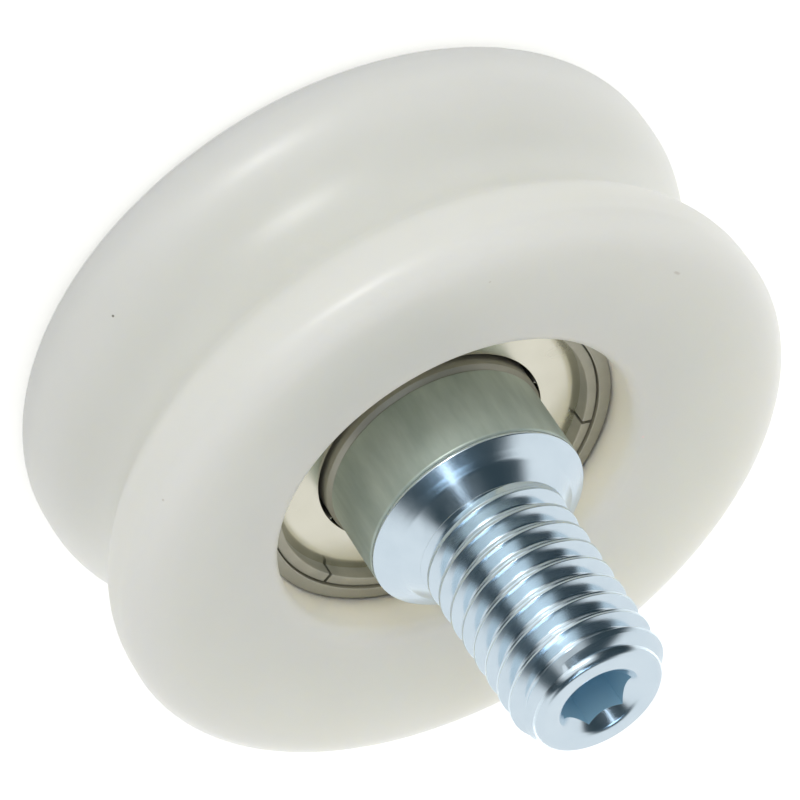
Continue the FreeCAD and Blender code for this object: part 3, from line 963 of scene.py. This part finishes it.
@dataclass
class Studio:
    """Pale floor, soft light and the camera at the photograph's viewing angle.

    The camera is placed by what it sees: the axle's direction, and where in millimetres the point at a
    height on the axle lies. Levels are linear, and the dark sides are directions round the axle.
    """

    axle_seen: tuple[float, float, float] = (0.4493, -0.6739, 0.5864)
    point_seen: tuple[float, float, float] = (2.329, -3.566, -292.02)
    point_height: float = 13.256
    lens: float = 214.47
    sensor: float = 36.0
    nearest: float = 0.01
    floor_size: float = 6.0
    floor_colour: str = "#f2f2f0"
    dark_colour: str = "#2f3f46"
    room_level: float = 0.645
    tent_level: float = 0.97
    left_dark: tuple[float, float] = (math.radians(29), math.radians(64))
    right_dark: tuple[float, float] = (math.radians(-94), math.radians(-29))
    side_blend: float = math.radians(16)
    dark_above: tuple[float, float] = (0.78, 0.92)
    dark_axis: tuple[float, float, float] = (0.2, 0.0, 1.0)
    floor_glow: float = 0.45
    bright_floor: tuple[float, float] = (0.045, 0.055)
    hole_lamp_count: int = 8
    hole_lamp_reach: float = 0.0096
    hole_lamp_height: float = 0.0141
    hole_lamp_size: tuple[float, float] = (0.0014, 0.0074)
    hole_lamp_power: float = 0.000055
    hole_lamp_colour: str = "#ffedcc"
    lamps: tuple[Lamp, ...] = (
        Lamp("overhead_box", (0.06, 0.0, 0.70), (0.10, 0.17), 0.22, "#c8e4ff", mirrored=True),
        Lamp("overhead_strip", (0.26, 0.0, 0.64), (0.28, 0.036), 0.13, "#e6f2ff", mirrored=True),
        Lamp("groove_glint", (0.56, -0.057, 0.03), (0.08, 0.11), 1.35, mirrored=True),
        Lamp("front_box", (0.52, -0.12, 0.15), (0.30, 0.20), 0.57),
        Lamp("back_strip", (-0.093, -0.078, 0.0085), (0.014, 0.08), 0.045),
        Lamp("side_strip", (-0.100, 0.070, 0.0085), (0.014, 0.08), 0.044),
    )

    def camera(self) -> bpy.types.Object:
        """Add the camera.

        Returns:
            The camera's object.
        """
        up = Vector(self.axle_seen).normalized()
        towards = (Vector((0, 0, 1)) - up * up.z).normalized()
        across = up.cross(towards)
        base = (Vector(self.point_seen) - up * self.point_height) * MM
        seen = Matrix((towards, across, up)).transposed().to_4x4()
        seen.translation = base
        data = bpy.data.cameras.new("camera")
        data.lens = self.lens
        data.sensor_width = self.sensor
        data.clip_start = self.nearest
        made = bpy.data.objects.new("camera", data)
        made.matrix_world = seen.inverted()
        bpy.context.scene.collection.objects.link(made)
        bpy.context.scene.camera = made
        return made

    def side_light(self, tree: bpy.types.NodeTree, place: bpy.types.NodeSocket) -> bpy.types.NodeSocket:
        """How bright the studio looks in a direction: dark at both sides of the camera, light elsewhere.

        Args:
            tree: the node tree that works it out.
            place: the direction or place, seen from the axle.

        Returns:
            Zero at the dark sides, one elsewhere.
        """
        parts = add_node(tree, "ShaderNodeSeparateXYZ", {"Vector": place})
        angle = add_node(tree, "ShaderNodeMath", {
            0: parts.outputs["Y"], 1: parts.outputs["X"]}, operation="ARCTAN2")
        levels = []
        for start, end in (self.left_dark, self.right_dark):
            away = add_node(tree, "ShaderNodeMath", {
                0: angle.outputs["Value"], 1: (start + end) / 2}, operation="SUBTRACT")
            gap = add_node(tree, "ShaderNodeMath", {0: away.outputs["Value"]}, operation="ABSOLUTE")
            half = (end - start) / 2
            level = add_node(tree, "ShaderNodeMapRange", {
                "Value": gap.outputs["Value"], "From Min": half - self.side_blend / 2,
                "From Max": half + self.side_blend / 2, "To Min": 0.0, "To Max": 1.0},
                interpolation_type="SMOOTHSTEP")
            levels.append(level.outputs["Result"])
        both = add_node(tree, "ShaderNodeMath", {0: levels[0], 1: levels[1]}, operation="MULTIPLY")
        return both.outputs["Value"]

    def floor(self) -> bpy.types.Object:
        """Add the floor, which is white to the camera and keeps a soft shadow.

        Returns:
            The floor's object.
        """
        mesh = bmesh.new()
        bmesh.ops.create_grid(mesh, x_segments=1, y_segments=1, size=self.floor_size / 2)
        data = bpy.data.meshes.new("floor")
        mesh.to_mesh(data)
        mesh.free()
        material = empty_material("pale_floor")
        tree = material.node_tree
        path = add_node(tree, "ShaderNodeLightPath")
        place = add_node(tree, "ShaderNodeTexCoord").outputs["Object"]
        away = add_node(tree, "ShaderNodeVectorMath", {0: place}, operation="LENGTH")
        near = add_node(tree, "ShaderNodeMapRange", {
            "Value": away.outputs["Value"], "From Min": self.bright_floor[0],
            "From Max": self.bright_floor[1], "To Min": 1.0, "To Max": 0.0})
        light = add_node(tree, "ShaderNodeMath", {
            0: self.side_light(tree, place), 1: near.outputs["Result"]}, operation="MAXIMUM")
        shade = add_node(tree, "ShaderNodeMix", {
            "Factor": light.outputs["Value"], MIX_A: linear(self.dark_colour),
            MIX_B: linear(self.floor_colour)}, data_type="RGBA")
        colour = add_node(tree, "ShaderNodeMix", {
            "Factor": path.outputs["Is Glossy Ray"], MIX_A: linear(self.floor_colour),
            MIX_B: shade.outputs[MIX_RESULT]}, data_type="RGBA")
        lit = add_node(tree, "ShaderNodeBsdfDiffuse", {"Color": colour.outputs[MIX_RESULT]})
        shown = add_node(tree, "ShaderNodeMath", {
            0: path.outputs["Is Glossy Ray"], 1: light.outputs["Value"], 2: path.outputs["Is Camera Ray"]},
            operation="MULTIPLY_ADD")
        strength = add_node(tree, "ShaderNodeMath", {
            0: shown.outputs["Value"], 1: self.floor_glow}, operation="MULTIPLY")
        glow = add_node(tree, "ShaderNodeEmission", {
            "Color": linear(WHITE), "Strength": strength.outputs["Value"]})
        both = add_node(tree, "ShaderNodeAddShader", {0: lit.outputs["BSDF"], 1: glow.outputs["Emission"]})
        add_node(tree, "ShaderNodeOutputMaterial", {"Surface": both.outputs["Shader"]})
        data.materials.append(material)
        made = bpy.data.objects.new("floor", data)
        bpy.context.scene.collection.objects.link(made)
        return made

    def world(self) -> None:
        """Light the room: white round the horizon and darker overhead, as in a light tent."""
        world = bpy.data.worlds.new("light_tent")
        world.use_nodes = True
        tree = world.node_tree
        tree.nodes.clear()
        bpy.context.scene.world = world
        place = add_node(tree, "ShaderNodeTexCoord").outputs["Generated"]
        above = add_node(tree, "ShaderNodeVectorMath", {
            0: place, 1: self.dark_axis}, operation="DOT_PRODUCT")
        tent = add_node(tree, "ShaderNodeMapRange", {
            "Value": above.outputs["Value"], "From Min": self.dark_above[0],
            "From Max": self.dark_above[1], "To Min": 1.0, "To Max": 0.0}, interpolation_type="SMOOTHSTEP")
        path = add_node(tree, "ShaderNodeLightPath")
        sides = add_node(tree, "ShaderNodeMath", {
            0: tent.outputs["Result"], 1: self.side_light(tree, place)}, operation="MULTIPLY")
        mirrored = add_node(tree, "ShaderNodeMix", {
            "Factor": sides.outputs["Value"], MIX_A: linear(self.dark_colour),
            MIX_B: grey(self.tent_level)}, data_type="RGBA")
        lighting = add_node(tree, "ShaderNodeMix", {
            "Factor": path.outputs["Is Glossy Ray"], MIX_A: grey(self.room_level),
            MIX_B: mirrored.outputs[MIX_RESULT]}, data_type="RGBA")
        seen = add_node(tree, "ShaderNodeMix", {
            "Factor": path.outputs["Is Camera Ray"], MIX_A: lighting.outputs[MIX_RESULT],
            MIX_B: linear(WHITE)}, data_type="RGBA")
        sky = add_node(tree, "ShaderNodeBackground", {"Color": seen.outputs[MIX_RESULT], "Strength": 1.0})
        add_node(tree, "ShaderNodeOutputWorld", {"Surface": sky.outputs["Background"]})

    def hole_lamps(self) -> list[Lamp]:
        """Faint lamps round the hole, for the light that the nylon carries through to the hole's wall.

        Returns:
            The lamps.
        """
        lamps = []
        for number in range(self.hole_lamp_count):
            angle = 2 * math.pi * number / self.hole_lamp_count
            place = (self.hole_lamp_reach * math.cos(angle), self.hole_lamp_reach * math.sin(angle),
                     self.hole_lamp_height)
            lamps.append(Lamp(f"hole_lamp_{number + 1}", place, self.hole_lamp_size, self.hole_lamp_power,
                              self.hole_lamp_colour, outward=True))
        return lamps

    def build(self) -> None:
        """Set up the floor, the light and the camera."""
        bpy.context.scene.view_settings.view_transform = "Standard"
        self.floor()
        self.world()
        for lamp in (*self.lamps, *self.hole_lamps()):
            lamp.build()
        self.camera()


def main() -> None:
    """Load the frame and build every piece."""
    logging.basicConfig(level=logging.INFO, format="%(message)s")
    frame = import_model()
    maker = PieceMaker()
    Roller(maker).build()
    Bearing(maker, frame["nodes"]).build()
    Spacer(maker).build()
    Stud(maker).build()
    Studio().build()


if __name__ == "__main__":
    main()
